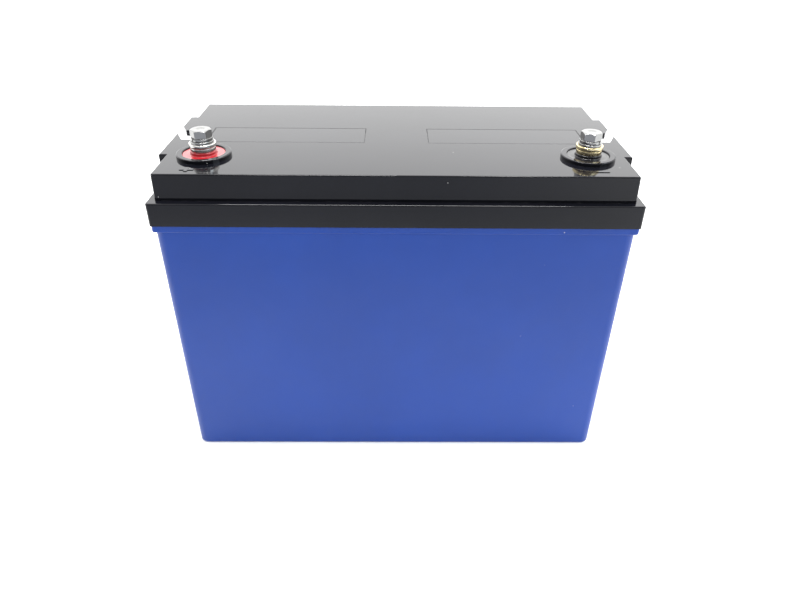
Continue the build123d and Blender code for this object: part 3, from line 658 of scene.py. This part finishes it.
def build_terminal(polarity):
    """Turned post: two collars with a groove between, rounded rims and an open bore."""
    source = f"{polarity}_terminal"
    centre, bottom, top = seat_of(source)
    bore, bore_floor = POST_BORE
    corners = [
        (POST_SHANK, bottom),
        (POST_SHANK, BOSS_BOTTOM),
        (POST_BODY, BOSS_BOTTOM),
        (POST_BODY, POST_FOOT),
        (POST_COLLAR[0], POST_FOOT),
        POST_COLLAR,
        (POST_GROOVE[0], POST_COLLAR[1]),
        POST_GROOVE,
        (POST_RIM, POST_GROOVE[1]),
        (POST_RIM, top),
        (bore, top),
        (bore, bore_floor),
    ]
    outline = rounded(corners, POST_EDGES, ROUNDING_STEPS)
    made = bmesh.new()
    rows = turned_rows(centre, [(POINT, bottom), *outline, (POINT, bore_floor)])
    skin(made, rows, closed_across=False)
    add_piece(f"{polarity}_terminal_turned", made, source)


def build_seal(polarity):
    """Moulded disc in the lid's ring: dished face, rounded rim and a collar around the post."""
    source = f"{polarity}_seal"
    centre, bottom, top = seat_of(source)
    corners = [
        (SEAL_BORE, bottom),
        (SEAL_SLEEVE, bottom),
        (SEAL_SLEEVE, LID_TOP),
        (SEAL_DISC, LID_TOP),
        (SEAL_DISC, SEAL_TOP),
        (SEAL_DISH[0], SEAL_TOP - SEAL_DISH[1]),
        (SEAL_COLLAR, SEAL_TOP),
        (SEAL_COLLAR, top),
        (SEAL_BORE, top),
    ]
    made = bmesh.new()
    skin(made, turned_rows(centre, rounded(corners, SEAL_EDGES, ROUNDING_STEPS)))
    add_piece(f"{polarity}_seal_moulded", made, source)


for polarity in POLARITIES:
    build_bolt(polarity)
    build_spring_washer(polarity)
    build_flat_washer(polarity)
    build_terminal(polarity)
    build_seal(polarity)


# ================================================================ foam pads
PAD_CELL = 6
PAD_FEWEST_CUTS = 4
PAD_THIN_CUTS = 2
PAD_SOFTNESS = 0.32
PAD_SQUEEZE = 0.97
PAD_RIPPLE = 0.015
PAD_WAVES = (0.11, 0.13, 0.09)
PAD_TOLERANCE = 0.001
PAD_SHARP_ANGLE = 70.0
PADS = {"base_pad": 2, "foam_front": 1, "foam_rear": 1, "foam_left": 0, "foam_right": 0}


def build_pad(source, thin_axis):
    """A foam sheet, squeezed in its gap: softly rounded edges and an uneven face."""
    low, high = in_mm(source)
    size = high - low
    middle = (low + high) / 2
    cuts = [max(PAD_FEWEST_CUTS, int(length / PAD_CELL)) for length in size]
    cuts[thin_axis] = PAD_THIN_CUTS
    made = bmesh.new()
    bmesh.ops.create_cube(made, size=1.0)
    for axis in range(3):
        along = []
        for edge in made.edges:
            start, end = edge.verts
            if abs((start.co - end.co)[axis]) > PAD_TOLERANCE:
                along.append(edge)
        bmesh.ops.subdivide_edges(made, edges=along, cuts=cuts[axis], use_grid_fill=True)
    half = size / 2
    soft = min(size) * PAD_SOFTNESS
    for vert in made.verts:
        place = Vector([vert.co[axis] * size[axis] for axis in range(3)])
        inset = [max(0.0, abs(place[axis]) - (half[axis] - soft)) for axis in range(3)]
        length = math.sqrt(sum(part * part for part in inset))
        if length > soft:
            for axis in range(3):
                core = min(abs(place[axis]), half[axis] - soft)
                place[axis] = math.copysign(core + inset[axis] * soft / length, place[axis])
        phase = [place[axis] * PAD_WAVES[axis] for axis in range(3)]
        ripple = PAD_RIPPLE * math.sin(phase[0] + 1.0) * math.sin(phase[1]) * math.cos(phase[2])
        place[thin_axis] *= PAD_SQUEEZE + ripple
        vert.co = middle + place
    piece = add_piece(f"{source}_pad", made, source, PAD_SHARP_ANGLE)


for source, thin_axis in PADS.items():
    build_pad(source, thin_axis)


# ================================================================ stage
SENSOR_WIDTH = 36.0
LENS = 29.34
CLIP = (0.01, 50.0)
CAMERA_PLACE = (-0.00231, -0.47991, 0.39332)
CAMERA_YAW = 0.0133
CAMERA_PITCH = 0.5655
CAMERA_ROLL = 0.0113
FLOOR_REACH = 14.0
PAPER = ((0.80, 0.80, 0.80), (0.82, 0.82, 0.82))
# Painted shade: the paper turns to this duller colour in front of the object and to its left
PAINTED_SHADE_PAPER = (0.32, 0.33, 0.36)
# Where the painted shade on the paper starts and ends, towards the viewer and towards the left
PAINTED_SHADE_AHEAD = (-0.60, -0.20)
PAINTED_SHADE_LEFT = (0.05, 0.75)
FLOOR_GLOW = 0.18
WORLD_FRONT_TO_BACK = (0.36, 2.42)
WORLD_OVERHEAD = 0.4
WORLD_SIDEWAYS = 0.16
WHITE = (1.0, 1.0, 1.0)
# Name, place, size, power and colour of each softbox
SOFTBOXES = [
    ("softbox_left", (-1.1, -0.9, 1.3), (0.8, 0.8), 5.0, WHITE),
    ("softbox_right", (1.3, -0.8, 1.2), (0.9, 0.9), 12.0, (0.80, 0.90, 1.0)),
    ("softbox_top", (0.0, -0.05, 1.5), (0.9, 0.22), 24.0, WHITE),
]


def add_object(name, data):
    """Put new data in the scene as an object."""
    made = bpy.data.objects.new(name, data)
    bpy.context.scene.collection.objects.link(made)
    return made


def make_camera():
    """The camera: a little to the left, turned right and rolled a touch, looking down."""
    data = bpy.data.cameras.new("camera")
    data.sensor_width = SENSOR_WIDTH
    data.lens = LENS
    data.clip_start, data.clip_end = CLIP
    level = math.cos(CAMERA_PITCH)
    forward = Vector(
        (math.sin(CAMERA_YAW) * level, math.cos(CAMERA_YAW) * level, -math.sin(CAMERA_PITCH))
    )
    right = Vector((math.cos(CAMERA_YAW), -math.sin(CAMERA_YAW), 0.0))
    up = right.cross(forward)
    rolled_right = right * math.cos(CAMERA_ROLL) + up * math.sin(CAMERA_ROLL)
    rolled_up = up * math.cos(CAMERA_ROLL) - right * math.sin(CAMERA_ROLL)
    rotation = Matrix((rolled_right, rolled_up, -forward)).transposed()
    camera = add_object("camera", data)
    camera.matrix_world = Matrix.Translation(CAMERA_PLACE) @ rotation.to_4x4()
    bpy.context.scene.camera = camera


def make_floor():
    """A large pale floor with a faint paper tooth and painted shade, darker towards the viewer and the
    left.
    """
    reach = FLOOR_REACH
    made = bmesh.new()
    corners = [(-reach, -reach, 0.0), (reach, -reach, 0.0), (reach, reach, 0.0), (-reach, reach, 0.0)]
    made.faces.new([made.verts.new(corner) for corner in corners])
    mesh = bpy.data.meshes.new("studio_floor")
    made.to_mesh(mesh)
    made.free()
    material, tree, shader = new_material("studio_paper")
    tooth = ramp(tree, noise(tree, 60.0, 4.0), 0.3, 0.7)
    paper = mix_colour(tree, tooth, *PAPER)
    split = node(tree, "ShaderNodeSeparateXYZ")
    tree.links.new(coordinates(tree), split.inputs[0])
    ahead = ramp(tree, split.outputs["Y"], *PAINTED_SHADE_AHEAD, 1.0, 0.0)
    leftward = ramp(tree, split.outputs["X"], *PAINTED_SHADE_LEFT, 1.0, 0.0)
    # Painted shade: the paper colour is mixed towards the duller shade colour ahead and to the left
    shade = math_node(tree, "MULTIPLY", ahead, leftward)
    surface = mix_colour(tree, shade, paper, PAINTED_SHADE_PAPER)
    tree.links.new(surface, shader.inputs["Base Color"])
    tree.links.new(surface, shader.inputs["Emission Color"])
    shader.inputs["Emission Strength"].default_value = FLOOR_GLOW
    shader.inputs["Roughness"].default_value = 0.75
    shader.inputs["Specular IOR Level"].default_value = 0.2
    mesh.materials.append(material)
    add_object("studio_floor", mesh)


def make_world():
    """A soft white studio: bright behind and above, dimmer where the viewer stands."""
    world = bpy.data.worlds.new("studio")
    bpy.context.scene.world = world
    world.use_nodes = True
    tree = world.node_tree
    tree.nodes.clear()
    background = node(tree, "ShaderNodeBackground")
    output = node(tree, "ShaderNodeOutputWorld")
    tree.links.new(background.outputs[0], output.inputs[0])
    source = node(tree, "ShaderNodeTexCoord")
    split = node(tree, "ShaderNodeSeparateXYZ")
    tree.links.new(source.outputs["Generated"], split.inputs[0])
    behind = ramp(tree, split.outputs["Y"], -0.55, 0.5, *WORLD_FRONT_TO_BACK)
    above = ramp(tree, split.outputs["Z"], 0.1, 0.9, 0.0, WORLD_OVERHEAD)
    sideways = math_node(tree, "MULTIPLY", split.outputs["X"], WORLD_SIDEWAYS)
    total = math_node(tree, "ADD", math_node(tree, "ADD", behind, above), sideways)
    tree.links.new(total, background.inputs["Strength"])
    background.inputs["Color"].default_value = (*WHITE, 1.0)


def add_softbox(name, place, size, power, colour):
    """A rectangular area light that faces the middle of the object."""
    data = bpy.data.lights.new(name, "AREA")
    data.shape = "RECTANGLE"
    data.size, data.size_y = size
    data.energy = power
    data.color = colour
    lamp = add_object(name, data)
    lamp.location = place
    lamp.rotation_mode = "QUATERNION"
    direction = (CAD_BOX[0] + CAD_BOX[1]) / 2 - Vector(place)
    lamp.rotation_quaternion = direction.to_track_quat("-Z", "Y")


make_camera()
make_floor()
make_world()
for softbox in SOFTBOXES:
    add_softbox(*softbox)
bpy.context.scene.view_settings.view_transform = "Standard"
